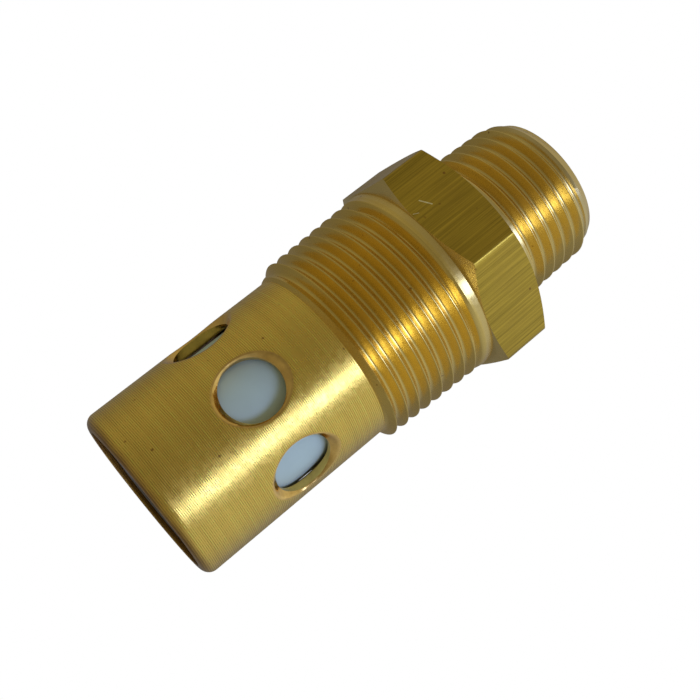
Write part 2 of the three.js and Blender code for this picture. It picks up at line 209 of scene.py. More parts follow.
class VENT_PG_studio(bpy.types.PropertyGroup):
    """Camera, lights and floor."""
    lens: FloatProperty(name="Lens", description="Focal length on a 36 mm sensor", default=56.84,
                        subtype="DISTANCE_CAMERA")
    place: FloatVectorProperty(name="Camera place", description="Where the camera stands",
                               default=(25.113 * MM, -130.060 * MM, -5.984 * MM), size=3,
                               unit="LENGTH", precision=5)
    azimuth: angle("Camera azimuth", 10.30, "Turn of the camera round the vent")
    elevation: angle("Camera elevation", -15.53, "Height of the camera's view above the horizon")
    roll: angle("Camera roll", 51.13, "Turn of the camera about its own view")
    key_power: FloatProperty(name="Key power", description="Radiance of the key light", default=8.0)
    key_colour: colour("Key colour", (0.33, 0.42, 1.0), "Colour of the key light")
    key_azimuth: angle("Key azimuth", -41, "Azimuth of the key light")
    key_elevation: angle("Key elevation", 16, "Height of the key light above the horizon")
    key_distance: length("Key distance", 600, "Middle of the vent to the key light")
    key_width: length("Key width", 165, "Width of the key light")
    key_height: length("Key height", 440, "Height of the key light")
    lit_side: colour("Lit side", (0.48, 0.52, 0.70), "Room light on the key's side")
    dim_side: colour("Dim side", (0.290, 0.276, 0.250), "Room light on the far side")
    camera_shade: share("Camera shade", 0.27, "How much darker the room is behind the camera")
    rear_shade: share("Rear shade", 0.35, "How much darker the room is behind the vent")
    ground_shade: share("Ground shade", 0.12, "How much darker the room is below")
    sky_gain: share("Sky gain", 0.45, "How much brighter the room is overhead")
    floor: colour("Floor", (0.88, 0.85, 0.68), "Pale floor")
    floor_radius: length("Floor radius", 420, "Radius at which the floor has faded out")


# ---- surfaces ----

def smooth_step(x):
    """0 below 0, 1 above 1, and three x squared less two x cubed between."""
    x = np.clip(x, 0, 1)
    return x * x * (3 - 2 * x)


def around(radius, height, azimuths):
    """Points at a radius and height for each azimuth: (radius cos, radius sin, height)."""
    radius, height, azimuths = np.broadcast_arrays(radius, height, azimuths)
    return np.stack([radius * np.cos(azimuths), radius * np.sin(azimuths), height], axis=-1)


def rounded(profile, sizes, steps=4):
    """A profile with its inner corners eased. Each corner gives way to the parabola that leaves one
    side and joins the other, both at that corner's size from it, or at under half a short side."""
    points = np.array(profile, float)
    sizes = np.broadcast_to(sizes, len(points) - 2)
    eased = [points[:1]]
    t = np.linspace(0, 1, steps + 1)[:, None]
    for before, corner, after, size in zip(points, points[1:], points[2:], sizes):
        if size <= 0:
            eased.append(corner[None])
            continue
        back, on = before - corner, after - corner
        back_length, on_length = np.linalg.norm(back), np.linalg.norm(on)
        start = corner + back / back_length * min(size, SIDE_SHARE * back_length)
        end = corner + on / on_length * min(size, SIDE_SHARE * on_length)
        eased.append((1 - t) ** 2 * start + 2 * t * (1 - t) * corner + t ** 2 * end)
    eased.append(points[-1:])
    return np.concatenate(eased)


def turned(profile, azimuths):
    """A surface of revolution: each [radius, height] of the profile carried round the axis."""
    profile = np.asarray(profile, float)
    return around(profile[:, :1], profile[:, 1:], azimuths[None, :])


def between(first, last, rows):
    """Rows of points from one line of points to another, in even straight steps."""
    return first[None] + (last - first)[None] * np.linspace(0, 1, rows + 1)[:, None, None]


class Skin:
    """One piece's surface, gathered patch by patch. A patch is a grid of points, rows by columns,
    with its rows running so that (next column) x (next row) points out, and a finish number."""

    def __init__(self):
        self.points, self.triangles, self.finishes, self.count = [], [], [], 0

    def add(self, grid, finish=0):
        rows, columns = grid.shape[:2]
        index = self.count + np.arange(rows * columns).reshape(rows, columns)
        a, b, c, d = index[:-1, :-1], index[:-1, 1:], index[1:, 1:], index[1:, :-1]
        cells = np.stack([a, b, c, a, c, d], axis=-1).reshape(-1, 3)
        self.points.append(grid.reshape(-1, 3))
        self.triangles.append(cells)
        self.finishes.append(np.full(len(cells), finish))
        self.count += rows * columns

    def welded(self):
        """Points that share a cell of the weld grid become one, and collapsed triangles go."""
        points = np.concatenate(self.points)
        triangles = np.concatenate(self.triangles)
        cells = np.floor(points / WELD + WELD_PHASE).astype(np.int64)
        _, first, where = np.unique(cells, axis=0, return_index=True, return_inverse=True)
        triangles = where.reshape(-1)[triangles]
        a, b, c = triangles.T
        kept = (a != b) & (b != c) & (c != a)
        return points[first], triangles[kept], np.concatenate(self.finishes)[kept]

    def mesh(self, name):
        """The welded surface as a smooth mesh with its sharp edges marked."""
        points, triangles, finishes = self.welded()
        mesh = bpy.data.meshes.new(name)
        mesh.vertices.add(len(points))
        mesh.vertices.foreach_set("co", points.astype(np.float32).ravel())
        mesh.loops.add(triangles.size)
        mesh.loops.foreach_set("vertex_index", triangles.astype(np.int32).ravel())
        mesh.polygons.add(len(triangles))
        mesh.polygons.foreach_set("loop_start", np.arange(0, triangles.size, 3, dtype=np.int32))
        mesh.polygons.foreach_set("material_index", finishes.astype(np.int32))
        mesh.update(calc_edges=True)
        mesh.validate()
        mesh.shade_smooth()
        mesh.set_sharp_from_angle(angle=SHARP)
        return mesh


def spun(name, profile, azimuths, shift=(0, 0, 0)):
    """The mesh of one surface of revolution, moved off the axis by a shift."""
    skin = Skin()
    skin.add(turned(profile, azimuths) + np.asarray(shift))
    return skin.mesh(name)


def put(name, data):
    """A new object in the scene."""
    made = bpy.data.objects.new(name, data)
    bpy.context.scene.collection.objects.link(made)
    return made


def show(name, mesh, materials, body, nodes):
    """Puts a mesh in the scene as a piece that rides on a body and stands for CAD nodes."""
    piece = put(name, mesh)
    for material in materials:
        mesh.materials.append(material)
    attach(piece, body)
    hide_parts(*nodes)


def joined(name, base, steps):
    """The base mesh after a run of exact booleans. Each step is an operation and the other mesh."""
    work = put(name, base)
    others = []
    for operation, other in steps:
        tool = put(name + "_tool", other)
        cut = work.modifiers.new(operation.title(), "BOOLEAN")
        cut.operation, cut.solver, cut.object = operation, "EXACT", tool
        others.append(tool)
    graph = bpy.context.evaluated_depsgraph_get()
    mesh = bpy.data.meshes.new_from_object(work.evaluated_get(graph))
    for made in [work, *others]:
        bpy.data.objects.remove(made)
    cut = bmesh.new()
    cut.from_mesh(mesh)
    bmesh.ops.remove_doubles(cut, verts=cut.verts, dist=CUT_WELD)
    cut.to_mesh(mesh)
    cut.free()
    mesh.name = name
    mesh.shade_smooth()
    mesh.set_sharp_from_angle(angle=SHARP)
    return mesh


def full_turn(columns):
    """Azimuths of evenly spaced columns, with the first repeated a turn on."""
    return np.linspace(0, TURN, columns + 1)


# ---- the body's own surfaces ----

CAGE, THREAD, FLAT, FACED, BORED, DRILLED = range(6)   # finish numbers
SECTOR = TURN / 6
HOLE_REACH = 6.4 * MM   # height of a hole's own patch of cage, above and below its middle
HOLE_EASE = 2.4         # breaks on a hole's edges, to the break on a turned edge
SETTLING = 30           # rounds in which the edge on the crown settles
FIT_GAP = 0.3 * MM      # between parts that touch


def body_columns(size):
    """Azimuths of the body's columns. Each sixth of a turn starts midway between two holes, and has
    a column on the hexagon corner inside it and on both edges of that corner's narrow land."""
    corner_radius = size.hex_half_flats / math.cos(SECTOR / 2) - size.hex_trim
    land = SECTOR / 2 - math.acos(size.hex_half_flats / corner_radius)
    start = size.hole_azimuth - SECTOR / 2
    corner = (size.hex_azimuth - start) % SECTOR
    before, after = 33, 7   # columns on the two sides of the corner
    sixth = np.concatenate([np.linspace(0, corner - land, before), [corner],
                            np.linspace(corner + land, SECTOR, after)[:-1]])
    turns = start + SECTOR * np.arange(6)[:, None] + sixth[None, :]
    return np.append(turns.ravel(), start + TURN), len(sixth)


def thread_form():
    """One pitch of the thread as shares of the pitch and of the depth: a narrow rounded crest,
    straight flanks of 27.5 degrees, and half a pitch on a wide root that follows a parabola."""
    half_phase = np.array([0.02, 0.045, 0.065, 0.265, 0.34, 0.42])
    half_depth = np.array([0.006, 0.038, 0.09, 0.69, 0.856, 0.968])
    phase = np.concatenate([-half_phase[2::-1], half_phase, [0.5], 1 - half_phase[:2:-1]])
    depth = np.concatenate([half_depth[2::-1], half_depth, [1.0], half_depth[:2:-1]])
    return phase, depth


def threaded(size, low, high, crest_height, crest, cut, envelope, azimuths):
    """A taper thread as a sheared grid. A row climbs one pitch a turn, so it ends where the row one
    pitch higher starts. Radius is crest(z) less the form's depth times cut(z), but never over
    envelope(z), and rows stop at the low and high ends."""
    phase, depth = thread_form()
    first = math.floor((low - crest_height) / size.pitch) - 1
    last = math.ceil((high - crest_height) / size.pitch) + 1
    turns = np.arange(first, last + 1)
    rows = (crest_height + (turns[:, None] + phase[None, :]) * size.pitch).ravel()[:, None]
    depths = np.tile(depth, len(turns))[:, None] * size.thread_depth
    climbed = rows + size.pitch * azimuths[None, :] / TURN
    z = np.clip(climbed, low, high)
    radius = np.where(climbed == z, crest(z) - depths * cut(z), crest(z))
    return around(np.minimum(radius, envelope(z)), z, azimuths[None, :])


def hole_patch(size, bore, middle, azimuths):
    """The surface from the outside of the cage, down through one hole, to the inside of the bore.

    Rows are rings round the hole. The first is the edge of the hole's own sector and the last is
    that sector's edge on the bore. In between, rings on the cage and bore blend straight from the
    sector's edge to the hole's edge on the unrolled cylinder; the hole's edge on the cage is where
    the 45 degree cone meets it: across = middle radius + sqrt(R^2 - (across cos)^2) - R."""
    crown = size.cage_radius
    wide = size.hole_radius + size.countersink
    span = azimuths - middle
    side = np.linspace(-HOLE_REACH, HOLE_REACH, 21)[1:-1]
    turn = np.concatenate([span, np.full(len(side), span[-1]), span[::-1],
                           np.full(len(side), span[0]), span[:1]])
    rise = np.concatenate([np.full(len(span), -HOLE_REACH), side,
                           np.full(len(span), HOLE_REACH), side[::-1], [-HOLE_REACH]])
    about = np.arctan2(rise, turn * crown)
    cos, sin = np.cos(about), np.sin(about)
    across = np.full_like(about, wide)
    for _ in range(SETTLING):
        across = wide + np.sqrt(crown ** 2 - (across * cos) ** 2) - crown

    def on_cylinder(radius, turns, rises):
        return around(radius, size.hole_height + rises, middle + turns)

    def in_hole(out, radius):
        """Points at a distance out along the hole's axis and a radius round it."""
        y = radius * cos
        return on_cylinder(np.hypot(out, y), np.arctan2(y, out), radius * sin)

    ease = HOLE_EASE * size.edge_break
    outer_turn = np.arcsin((across + ease) * cos / crown)
    outer_rise = (across + ease) * sin
    t = np.linspace(0, 1, 9)[:, None] ** 0.8   # rows gather at the hole
    outside = on_cylinder(crown, turn + (outer_turn - turn) * t, rise + (outer_rise - rise) * t)
    cone_top = across - ease
    cone = in_hole(crown + (cone_top - wide), cone_top)
    crown_edge = in_hole(crown + (across - wide) - 0.25 * ease, across - 0.1 * ease)
    drilled = np.full_like(across, size.hole_radius)
    floor = in_hole(np.full_like(across, crown - size.countersink), drilled)
    wall_end = in_hole(np.sqrt(bore ** 2 - (size.hole_radius * cos) ** 2) + ease, drilled)
    grown = size.hole_radius + ease
    inner_turn = np.arcsin(grown * cos / bore)
    inner_rise = np.full_like(across, grown) * sin
    t = np.linspace(0, 1, 7)[:, None] ** 1.2   # and here too, from the hole out
    inside = on_cylinder(bore, inner_turn + (turn - inner_turn) * t,
                         inner_rise + (rise - inner_rise) * t)
    return outside, np.concatenate([outside[-1:], crown_edge[None], between(cone, floor, 3),
                                    between(floor, wall_end, 3)[1:], inside[:1]]), inside


def hexagon_rows(size, low, high, azimuths):
    """The hexagon's outside: a cone out from the lower face, the flats, and a cone back in. A flat
    stands half_flats / cos(azimuth from its middle) from the axis, and no more than the corner's
    radius; each cone rises evenly with radius, so it meets the flats in an arch."""
    face = size.hex_half_flats
    corner = face / math.cos(SECTOR / 2) - size.hex_trim
    off = (azimuths - size.hex_azimuth) % SECTOR - SECTOR / 2
    out = np.minimum(face / np.cos(off), corner)
    rise = size.hex_rise * (out - face) / (corner - face)
    start = around(face, low, azimuths)
    lower = around(out, low + rise, azimuths)
    upper = around(out, high - rise, azimuths)
    finish = around(face, high, azimuths)
    return between(start, lower, 3), between(lower, upper, 6), between(upper, finish, 3)


def vent_body(size):
    """The whole closed surface of the body: up the outside, over the outlet and down the inside."""
    azimuths, per_sector = body_columns(size)
    crown, bore = size.cage_radius, size.cage_radius - size.cage_wall
    ease = size.edge_break
    thread_foot = size.cage_length
    thread_start = thread_foot + size.lead_in
    hex_low = thread_foot + size.inlet_length
    hex_high = hex_low + size.hex_height
    top = hex_high + size.outlet_length
    band_low, band_high = size.hole_height - HOLE_REACH, size.hole_height + HOLE_REACH
    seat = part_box("valve_seat")[0].z
    pocket_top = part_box("seat_gasket")[1].z + FIT_GAP
    lip = bore - size.lip_inset
    throat = top - 4 * size.bore_chamfer   # where the faced mouth gives way to the bore
    skin = Skin()

    def sweep(profile, finish):
        skin.add(turned(profile, azimuths), finish)

    def inlet_crest(z):
        return size.inlet_gauge_radius + (z - thread_start - size.inlet_gauge_length) * size.taper

    def outlet_crest(z):
        return size.outlet_gauge_radius + (top - size.outlet_gauge_length - z) * size.taper

    def lead_in(z):
        return crown + (inlet_crest(thread_start) - crown) * (z - thread_foot) / size.lead_in

    def end_cone(z):
        return (outlet_crest(top) - size.end_chamfer
                + (top - z) * size.end_chamfer / size.end_chamfer_length)

    round_foot = [crown - size.rim_round, 0]
    quarter = np.linspace(0, math.pi / 2, 11)
    round_points = np.stack([crown - size.rim_round * (1 - np.sin(quarter)),
                             size.rim_round * (1 - np.cos(quarter))], axis=1)
    rim = np.concatenate([rounded([[lip, size.lip_height / 2], [lip, 0], round_foot], ease),
                          round_points[1:]])
    sweep(rim, CAGE)
    sweep(np.linspace([crown, size.rim_round], [crown, band_low], 5), CAGE)
    for k in range(6):
        sector = azimuths[k * per_sector:(k + 1) * per_sector + 1]
        middle = size.hole_azimuth + SECTOR * k
        outside, through, inside = hole_patch(size, bore, middle, sector)
        skin.add(outside, CAGE)
        skin.add(through, DRILLED)
        skin.add(inside, BORED)
    sweep(np.linspace([crown, band_high], [crown, thread_foot], 4), CAGE)

    skin.add(threaded(size, thread_foot, hex_low, thread_start + size.inlet_crest, inlet_crest,
                      lambda z: smooth_step((hex_low - size.inlet_collar - z) / size.run_out),
                      lead_in, azimuths), THREAD)
    sweep([[inlet_crest(hex_low), hex_low], [size.hex_half_flats, hex_low]], FACED)
    lower, flats, upper = hexagon_rows(size, hex_low, hex_high, azimuths)
    skin.add(lower, FACED)
    skin.add(flats, FLAT)
    skin.add(upper, FACED)
    sweep(np.linspace([size.hex_half_flats, hex_high],
                      [outlet_crest(hex_high), hex_high], 4), FACED)
    skin.add(threaded(size, hex_high, top, hex_high + size.outlet_crest, outlet_crest,
                      lambda z: smooth_step((z - hex_high - size.outlet_collar) / size.run_out),
                      end_cone, azimuths), THREAD)

    mouth = size.bore_radius + size.bore_chamfer
    sweep(rounded([[end_cone(top), top], [mouth, top],
                   [size.bore_radius, top - size.bore_chamfer], [size.bore_radius, throat]], ease),
          FACED)
    sweep([[size.bore_radius, throat], [size.bore_radius, pocket_top],
           [size.pocket_radius, pocket_top], [size.pocket_radius, seat],
           [bore, seat - size.pocket_cone], [bore, band_high]], BORED)
    groove = bore + size.groove_depth
    sweep(rounded([[bore, band_low], [bore, size.groove_top], [groove, size.groove_top],
                   [groove, size.lip_height], [lip, size.lip_height],
                   [lip, size.lip_height / 2]], 0.5 * ease), BORED)
    return skin.mesh("vent_body")


# ---- finishes ----

def node(tree, kind, settings=None, inputs=None):
    """Adds a shader node, sets its settings, and sets each named input or joins it to a socket."""
    made = tree.nodes.new("ShaderNode" + kind)
    for name, value in (settings or {}).items():
        setattr(made, name, value)
    for name, value in (inputs or {}).items():
        if isinstance(value, bpy.types.NodeSocket):
            tree.links.new(value, made.inputs[name])
        else:
            made.inputs[name].default_value = value
    return made


def maths(tree, operation, first, second=0.0, third=0.0):
    """The result of one Math node."""
    return node(tree, "Math", {"operation": operation}, {0: first, 1: second, 2: third}).outputs[0]


def vectors(tree, operation, inputs, result="Vector"):
    """One result of a Vector Math node."""
    return node(tree, "VectorMath", {"operation": operation}, inputs).outputs[result]


def split(tree, vector):
    """The X, Y and Z of a vector."""
    return node(tree, "SeparateXYZ", None, {0: vector}).outputs


def spread(tree, value, low, high, to_low=0.0, to_high=1.0):
    """A value carried from one range to another and held at its ends."""
    return node(tree, "MapRange", {"clamp": True},
                {"Value": value, "From Min": low, "From Max": high, "To Min": to_low,
                 "To Max": to_high}).outputs["Result"]


def blended(tree, amount, first, second):
    """A colour between two others."""
    return node(tree, "Mix", {"data_type": "RGBA"}, {0: amount, 6: first, 7: second}).outputs[2]


def noise(tree, vector, scale, detail=2.0, roughness=0.5):
    """Noise at a point, from 0 to 1. Scale is features to the metre."""
    return node(tree, "TexNoise", None, {"Vector": vector, "Scale": scale, "Detail": detail,
                                         "Roughness": roughness}).outputs[0]


def group(name, inputs, outputs):
    """An empty shader group with its named sockets, or None beside it if it was made before."""
    if name in bpy.data.node_groups:
        return bpy.data.node_groups[name], None, None
    tree = bpy.data.node_groups.new(name, "ShaderNodeTree")
    for label, kind, value in inputs:
        socket = tree.interface.new_socket(name=label, in_out="INPUT",
                                           socket_type="NodeSocket" + kind)
        if value is not None:
            socket.default_value = value
    for label, kind in outputs:
        tree.interface.new_socket(name=label, in_out="OUTPUT", socket_type="NodeSocket" + kind)
    return tree, tree.nodes.new("NodeGroupInput").outputs, tree.nodes.new("NodeGroupOutput").inputs


def tool_marks():
    """Rings left by a turning tool: a sine of the distance along the cut, deeper on some turns than
    on others and broken here and there. Along is the height on a cylinder and the radius on a
    face."""
    tree, given, out = group("tool_marks", [
        ("Vector", "Vector", None), ("Along", "Float", 0.0), ("Pitch", "Float", 0.0002),
        ("Uneven", "Float", 0.6), ("Ringing", "Float", 0.3),
    ], [("Height", "Float"), ("Shade", "Float")])
    if given is None:
        return tree
    wander = maths(tree, "MULTIPLY", noise(tree, given["Vector"], 60.0), 0.4 * MM)
    along = maths(tree, "ADD", given["Along"], wander)
    turns = maths(tree, "DIVIDE", maths(tree, "MULTIPLY", along, TURN), given["Pitch"])
    lane = node(tree, "CombineXYZ", None, {"Z": given["Along"]}).outputs[0]
    fine = noise(tree, lane, 3500.0, 1.0)
    broad = noise(tree, lane, 620.0)
    depth = maths(tree, "MULTIPLY_ADD", maths(tree, "SUBTRACT", fine, 0.5), given["Uneven"], 0.5)
    broken = spread(tree, noise(tree, given["Vector"], 2300.0, 1.0), 0.38, 0.62, 0.45, 1.35)
    rings = maths(tree, "MULTIPLY", maths(tree, "SINE", turns),
                  maths(tree, "MULTIPLY", depth, broken))
    tree.links.new(rings, out["Height"])
    bands = maths(tree, "MULTIPLY_ADD", broad, 0.55, maths(tree, "MULTIPLY", fine, 0.45))
    tree.links.new(maths(tree, "MULTIPLY_ADD", rings, given["Ringing"], bands), out["Shade"])
    return tree


def bar_streaks():
    """Fine lines that run up the axis, as on a drawn bar: noise squeezed round and stretched
    along."""
    tree, given, out = group("bar_streaks", [
        ("Vector", "Vector", None), ("Fineness", "Float", 5200.0),
    ], [("Height", "Float"), ("Shade", "Float")])
    if given is None:
        return tree
    long = vectors(tree, "MULTIPLY", {0: given["Vector"], 1: (1.0, 1.0, 0.012)})
    fine = noise(tree, long, given["Fineness"], 2.0, 0.6)
    broad = noise(tree, long, 3200.0, 2.0, 0.6)
    tree.links.new(fine, out["Height"])
    tree.links.new(maths(tree, "MULTIPLY_ADD", broad, 0.45, maths(tree, "MULTIPLY", fine, 0.55)),
                   out["Shade"])
    return tree


def worn_metal():
    """Bare metal with soft brown mottling, small dark specks and a shade from its own marks. Puts
    out the colour and the roughness."""
    tree, given, out = group("worn_metal", [
        ("Vector", "Vector", None), ("Metal", "Color", (0.9, 0.6, 0.1, 1)),
        ("Stain", "Color", (0.2, 0.08, 0.02, 1)), ("Mottle", "Float", 0.15),
        ("Specks", "Float", 0.5), ("Shade", "Float", 0.5), ("Contrast", "Float", 0.3),
        ("Rough", "Float", 0.3),
    ], [("Color", "Color"), ("Roughness", "Float")])
    if given is None:
        return tree
    place, stain = given["Vector"], given["Stain"]
    cloud = spread(tree, noise(tree, place, 230.0, 4.0, 0.6), 0.42, 0.72)
    stained = blended(tree, maths(tree, "MULTIPLY", cloud, given["Mottle"]), given["Metal"], stain)
    cells = node(tree, "TexVoronoi", {"feature": "F1"},
                 {"Vector": place, "Scale": 700.0, "Randomness": 1.0})
    chosen = spread(tree, noise(tree, place, 900.0, 1.0), 0.60, 0.66)
    dot = maths(tree, "MULTIPLY", spread(tree, cells.outputs["Distance"], 0.10, 0.17, 1.0, 0.0),
                chosen)
    specked = blended(tree, maths(tree, "MULTIPLY", dot, given["Specks"]), stained, stain)
    shade = maths(tree, "MULTIPLY_ADD", maths(tree, "SUBTRACT", given["Shade"], 0.5),
                  given["Contrast"], 1.0)
    tree.links.new(vectors(tree, "SCALE", {0: specked, "Scale": shade}), out["Color"])
    grain = spread(tree, noise(tree, place, 1500.0, 3.0), 0.3, 0.7, -0.05, 0.05)
    rough = maths(tree, "ADD", given["Rough"], maths(tree, "MULTIPLY_ADD", cloud, 0.08, grain))
    tree.links.new(rough, out["Roughness"])
    return tree


def placed(tree, made, inputs):
    """The outputs of a group node with its inputs set."""
    return node(tree, "Group", {"node_tree": made}, inputs).outputs


def opaque(rgb):
    """A colour with full alpha."""
    return (*rgb, 1.0)


def new_material(name, roughness, metallic):
    """A material with only its Principled shader and output, and its object coordinates."""
    material = bpy.data.materials.new(name)
    material.use_nodes = True
    tree = material.node_tree
    tree.nodes.clear()
    shader = node(tree, "BsdfPrincipled", None, {"Roughness": roughness, "Metallic": metallic})
    tree.links.new(shader.outputs[0], node(tree, "OutputMaterial").inputs[0])
    return material, tree, shader.inputs, node(tree, "TexCoord").outputs["Object"]


def bumped(tree, shader, height, depth):
    """Joins a height to the shader's normal, as a relief of the given depth in metres."""
    bump = node(tree, "Bump", None, {"Strength": 1.0, "Distance": depth, "Height": height})
    tree.links.new(bump.outputs[0], shader["Normal"])


def dress(tree, shader, place, metal, stain, mottle, specks, shade, contrast, rough, height, depth):
    """Joins worn metal and a relief to a shader."""
    look = placed(tree, worn_metal(), {
        "Vector": place, "Metal": metal, "Stain": opaque(stain), "Mottle": mottle,
        "Specks": specks, "Shade": shade, "Contrast": contrast, "Rough": rough})
    tree.links.new(look["Color"], shader["Base Color"])
    tree.links.new(look["Roughness"], shader["Roughness"])
    bumped(tree, shader, height, depth)


def ringed_brass(name, metal, finish, rough, pitch, depth, contrast, mottle, ringing=0.3,
                 faced=False):
    """Brass with tool rings: round the axis on a cylinder, or in circles on a face. Metal is a
    colour, or a function that makes one from the tree, the place and its height."""
    material, tree, shader, place = new_material(name, rough, 1.0)
    x, y, height = split(tree, place)
    along = height
    if faced:
        squares = maths(tree, "MULTIPLY_ADD", x, x, maths(tree, "POWER", y, 2.0))
        along = maths(tree, "ADD", maths(tree, "SQRT", squares), height)
    marks = placed(tree, tool_marks(), {"Vector": place, "Along": along, "Pitch": pitch,
                                        "Uneven": 0.7, "Ringing": ringing})
    metal = metal(tree, place, height) if callable(metal) else opaque(metal)
    dress(tree, shader, place, metal, finish.stain, mottle, specks=0.75, shade=marks["Shade"],
          contrast=contrast, rough=rough, height=marks["Height"], depth=depth)
    return material


def threaded_brass(size, finish):
    """Brass of the threads, deep gold in the grooves and paler on the plain collars and end
    chamfer. The outlet thread is painted paler than the inlet thread: painted light, for the
    brighter room it reflects."""
    hex_low = size.cage_length + size.inlet_length
    hex_high = hex_low + size.hex_height
    collar_low, collar_high = hex_low - size.inlet_collar, hex_high + size.outlet_collar
    chamfer_low = hex_high + size.outlet_length - size.end_chamfer_length

    def metal(tree, place, height):
        under = spread(tree, height, collar_low, collar_low + 0.2 * MM)
        over = spread(tree, height, collar_high, collar_high + 0.6 * MM, 1.0, 0.0)
        end = spread(tree, height, chamfer_low, chamfer_low + 0.5 * MM)
        collars = maths(tree, "MULTIPLY", maths(tree, "MULTIPLY", under, over),
                        spread(tree, height, hex_low, hex_high, 0.35, 1.0))
        # painted light: from the hexagon up, the outlet thread is painted a quarter of the way
        # towards the paler faced brass
        outlet = spread(tree, height, hex_low, hex_high, 0.0, 0.25)
        pale = maths(tree, "MAXIMUM", maths(tree, "MAXIMUM", collars, outlet), end)
        return blended(tree, pale, opaque(finish.threaded), opaque(finish.faced))

    return ringed_brass("brass_threaded", metal, finish, rough=0.24, pitch=0.13 * MM,
                        depth=0.0006 * MM, contrast=0.2, mottle=0.08, ringing=0.15)


def cage_brass(finish):
    """Turned brass of the cage, with painted shade where it rounds under at the rim: a darker brown
    there.
    """
    def metal(tree, place, height):
        wander = maths(tree, "MULTIPLY", noise(tree, place, 260.0), MM)
        # painted shade: darker brown brass, full below 0.5 mm and fading out by 1.5 mm up, where
        # the rim rounds under
        painted_rim_shade = spread(tree, maths(tree, "ADD", height, wander), 0.5 * MM, 1.5 * MM, 1.0, 0.0)
        return blended(tree, painted_rim_shade, opaque(finish.turned), opaque(finish.rim))

    return ringed_brass("brass_turned", metal, finish, rough=0.25, pitch=0.24 * MM,
                        depth=0.010 * MM, contrast=0.9, mottle=0.08, ringing=0.65)


def drilled_brass(finish):
    """Bright brass of the holes' countersinks and walls, with faint chatter round each hole."""
    material, tree, shader, place = new_material("brass_drilled", 0.13, 1.0)
    chatter = noise(tree, place, 900.0, 2.0, 0.6)
    dress(tree, shader, place, opaque(finish.drilled), finish.stain, mottle=0.35, specks=0.5,
          shade=chatter, contrast=0.5, rough=0.13, height=chatter, depth=0.04 * MM)
    return material


def scratch(tree, place, first, last, wide):
    """Mask of a straight scratch in front of the axis, between two points given by x and z."""
    start = np.array([first[0], 0.0, first[1]]) * MM
    run = np.array([last[0], 0.0, last[1]]) * MM - start
    reach = float(np.linalg.norm(run))
    way = tuple(run / reach)
    level = vectors(tree, "MULTIPLY", {0: place, 1: (1.0, 0.0, 1.0)})
    away = vectors(tree, "SUBTRACT", {0: level, 1: tuple(start)})
    along = vectors(tree, "DOT_PRODUCT", {0: away, 1: way}, "Value")
    held = spread(tree, along, 0.0, reach, 0.0, reach)
    nearest = vectors(tree, "SCALE", {0: way, "Scale": held})
    gap = vectors(tree, "DISTANCE", {0: away, 1: nearest}, "Value")
    front = spread(tree, split(tree, place)["Y"], -2 * MM, -MM, 1.0, 0.0)
    return maths(tree, "MULTIPLY", front, spread(tree, gap, 0.4 * wide, wide, 1.0, 0.0))


def drawn_brass(finish):
    """Brass with the streaks of a drawn bar, and two scratches."""
    material, tree, shader, place = new_material("brass_drawn", 0.3, 1.0)
    streaks = placed(tree, bar_streaks(), {"Vector": place, "Fineness": 9000.0})
    marks = maths(tree, "MAXIMUM", scratch(tree, place, (-4.9, 45.6), (-3.6, 46.4), 0.11 * MM),
                  scratch(tree, place, (-4.0, 43.8), (-3.7, 44.4), 0.06 * MM))
    metal = blended(tree, marks, opaque(finish.drawn), opaque(finish.scratched))
    dress(tree, shader, place, metal, finish.stain, mottle=0.10, specks=0.7,
          shade=streaks["Shade"], contrast=1.9, rough=0.30, height=streaks["Height"],
          depth=0.008 * MM)
    return material


def body_brasses(size, finish):
    """The body's finishes, in the order of their numbers."""
    return [
        cage_brass(finish),
        threaded_brass(size, finish),
        drawn_brass(finish),
        ringed_brass("brass_faced", finish.faced, finish, rough=0.22, pitch=0.16 * MM,
                     depth=0.003 * MM, contrast=0.4, mottle=0.10, faced=True),
        ringed_brass("brass_bored", finish.bored, finish, rough=0.34, pitch=0.25 * MM,
                     depth=0.004 * MM, contrast=0.4, mottle=0.25),
        drilled_brass(finish),
    ]


def moulded_plastic(finish):
    """Matt moulded plastic with a fine skin and a faint cloudiness."""
    material, tree, shader, place = new_material("plastic_moulded", 0.5, 0.0)
    cloud = spread(tree, noise(tree, place, 260.0, 3.0), 0.3, 0.7)
    tone = tuple(0.93 * part for part in finish.plastic)
    tree.links.new(blended(tree, cloud, opaque(tone), opaque(finish.plastic)), shader["Base Color"])
    skin = noise(tree, place, 4200.0, 3.0, 0.6)
    tree.links.new(spread(tree, skin, 0.3, 0.7, 0.44, 0.58), shader["Roughness"])
    shader["Subsurface Weight"].default_value = 0.12
    shader["Subsurface Scale"].default_value = 0.6 * MM
    shader["Subsurface Radius"].default_value = (1.0, 1.0, 1.0)
    bumped(tree, shader, skin, 0.006 * MM)
    return material


OIL_STAIN = (0.10, 0.075, 0.05)


def bright_steel(name, finish, rough):
    """Steel with a rolled grain and faint oil stains."""
    material, tree, shader, place = new_material(name, rough, 1.0)
    grain = noise(tree, place, 3800.0, 4.0, 0.65)
    dress(tree, shader, place, opaque(finish.steel), OIL_STAIN, mottle=0.3, specks=0.4,
          shade=grain, contrast=0.5, rough=rough, height=grain, depth=0.004 * MM)
    return material


def matt_sheet(name, tone, rough, fineness, depth, pale):
    """A matt sheet material, rubber or fibre: grainy, with paler flecks."""
    material, tree, shader, place = new_material(name, rough, 0.0)
    grain = noise(tree, place, fineness, 4.0, 0.7)
    fleck = spread(tree, grain, 0.58, 0.75)
    tree.links.new(blended(tree, fleck, opaque(tone), opaque(pale)), shader["Base Color"])
    tree.links.new(spread(tree, grain, 0.3, 0.7, rough - 0.08, rough + 0.08), shader["Roughness"])
    bumped(tree, shader, grain, depth)
    return material


# ---- operators ----

def ring_section(inner, outer, low, high):
    """A rectangle that starts and ends halfway up its outer side."""
    half = (low + high) / 2
    return [[outer, half], [outer, high], [inner, high], [inner, low], [outer, low], [outer, half]]


